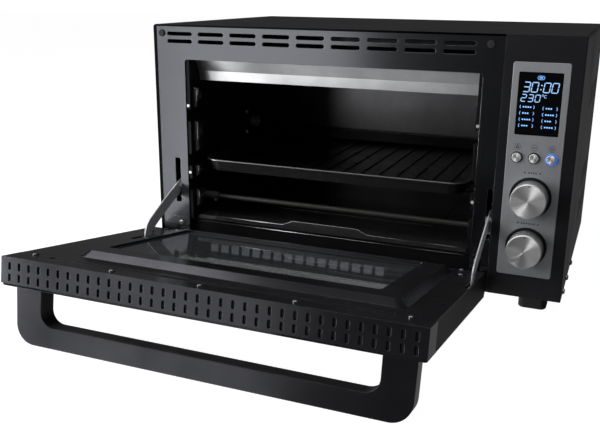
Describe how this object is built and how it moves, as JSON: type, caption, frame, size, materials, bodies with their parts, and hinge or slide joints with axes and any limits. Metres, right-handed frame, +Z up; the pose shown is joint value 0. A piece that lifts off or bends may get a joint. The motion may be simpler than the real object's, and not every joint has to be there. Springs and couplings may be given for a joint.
{
  "type": "toaster oven",
  "caption": "Countertop toaster oven with a drop-down glass door, loop handle, slide-out trays and a side panel of knobs, buttons and a display.",
  "frame": {"origin": "on the table, under the centre of the outline with the door open", "axes": "+X to the right seen from the front, +Y to the back, +Z up"},
  "size_m": [0.5428, 0.6643, 0.325],
  "materials": {
    "shell_black": "satin",
    "galvanised": "matte",
    "black_plastic": "matte",
    "satin_black_steel": "satin",
    "black_rubber": "matte",
    "dark_steel": "satin",
    "bright_steel": "polished",
    "gloss_black": "gloss",
    "brushed_plate": "brushed",
    "display_glass": "gloss",
    "bright_metal": "polished",
    "spun_metal": "spun",
    "circuit_board": "matte",
    "black_enamel": "gloss",
    "bright_sheet": "brushed",
    "heater_sheath": "matte",
    "ceramic": "matte",
    "tray_enamel": "satin",
    "tinted_glass": "gloss",
    "clear_glass": "gloss",
    "chrome_screw": "polished",
    "satin_metal_band": "satin"
  },
  "bodies": {
    "cabinet": {"base_pan": "galvanised", "button_rings": "bright_metal", "cabinet_screws": "chrome_screw", "cavity_back": "black_enamel", "cavity_liner": "black_enamel", "control_fascia": "gloss_black", "control_plate": "brushed_plate", "cord_gland": "black_plastic", "display_board": "circuit_board", "display_window": "display_glass", "door_bumpers": "black_rubber", "fan_housing": "galvanised", "fan_motor": "galvanised", "feet": "black_rubber", "front_frame": "satin_black_steel", "heater_insulators": "ceramic", "heater_shield": "bright_sheet", "hinge_brackets": "dark_steel", "hinge_pins": "bright_steel", "knob_encoders": "black_plastic", "knob_rings": "black_plastic", "liner_screws": "chrome_screw", "lower_heaters": "heater_sheath", "outer_shell": "shell_black", "power_board": "circuit_board", "rear_panel": "shell_black", "rotisserie_hub": "bright_steel", "rotisserie_motor": "galvanised", "temperature_probe": "bright_steel", "upper_heaters": "heater_sheath", "wall_spacers": "black_plastic"},
    "door": {"door_frame": "dark_steel", "door_top_cap": "satin_black_steel", "door_outer_glass": "tinted_glass", "door_inner_panel": "dark_steel", "door_bezel": "black_enamel", "door_inner_glass": "clear_glass", "door_gasket": "black_rubber", "door_screws": "chrome_screw", "hinge_blocks": "dark_steel", "arm_pins": "bright_steel", "handle_face": "satin_black_steel", "handle_body": "black_plastic", "handle_trim": "satin_metal_band", "handle_screws": "chrome_screw"},
    "left_arm": {"left_stay_arm": "dark_steel"},
    "right_arm": {"right_stay_arm": "dark_steel"},
    "baking_tray": {"baking_tray": "tray_enamel"},
    "crumb_tray": {"crumb_tray": "tray_enamel"},
    "program_knob": {"program_knob_cap": "spun_metal", "program_knob_core": "black_plastic"},
    "temperature_knob": {"temperature_knob_cap": "spun_metal", "temperature_knob_core": "black_plastic"},
    "button_1": {"button_1": "spun_metal"},
    "button_2": {"button_2": "spun_metal"},
    "button_3": {"button_3": "spun_metal"},
    "fan": {"fan_wheel": "bright_sheet"},
    "rotisserie_drive": {"rotisserie_socket": "bright_steel"}
  },
  "joints": [
    {"name": "door_hinge", "type": "hinge", "parent": "cabinet", "child": "door", "pos_m": [0, -0.05, 0.038], "axis": [-1, 0, 0], "range_deg": [0, 80.65]},
    {"name": "left_arm_pivot", "type": "hinge", "parent": "door", "child": "left_arm", "pos_m": [-0.2356, -0.108, 0.05505], "axis": [-1, 0, 0], "range_deg": [-80.65, 0]},
    {"name": "right_arm_pivot", "type": "hinge", "parent": "door", "child": "right_arm", "pos_m": [0.1802, -0.108, 0.05505], "axis": [-1, 0, 0], "range_deg": [-80.65, 0]},
    {"name": "program_knob_spin", "type": "hinge", "parent": "cabinet", "child": "program_knob", "pos_m": [0.225, -0.0315, 0.1458], "axis": [0, -1, 0], "continuous": true},
    {"name": "temperature_knob_spin", "type": "hinge", "parent": "cabinet", "child": "temperature_knob", "pos_m": [0.225, -0.0315, 0.087], "axis": [0, -1, 0], "continuous": true},
    {"name": "baking_tray_slide", "type": "slide", "parent": "cabinet", "child": "baking_tray", "axis": [0, 1, 0], "range_m": [-0.25, 0]},
    {"name": "crumb_tray_slide", "type": "slide", "parent": "cabinet", "child": "crumb_tray", "axis": [0, 1, 0], "range_m": [-0.05, 0]},
    {"name": "fan_spin", "type": "hinge", "parent": "cabinet", "child": "fan", "pos_m": [0.171, 0.2085, 0.253], "axis": [1, 0, 0], "continuous": true},
    {"name": "rotisserie_spin", "type": "hinge", "parent": "cabinet", "child": "rotisserie_drive", "pos_m": [0.158, 0.1555, 0.1747], "axis": [1, 0, 0], "continuous": true},
    {"name": "button_1_press", "type": "slide", "parent": "cabinet", "child": "button_1", "axis": [0, 1, 0], "range_m": [0, 0.0015], "stiffness_N_per_m": 500},
    {"name": "button_2_press", "type": "slide", "parent": "cabinet", "child": "button_2", "axis": [0, 1, 0], "range_m": [0, 0.0015], "stiffness_N_per_m": 500},
    {"name": "button_3_press", "type": "slide", "parent": "cabinet", "child": "button_3", "axis": [0, 1, 0], "range_m": [0, 0.0015], "stiffness_N_per_m": 500}
  ],
  "couplings": [
    {"joint": "left_arm_pivot", "follows": "door_hinge", "ratio": -1},
    {"joint": "right_arm_pivot", "follows": "door_hinge", "ratio": -1}
  ]
}
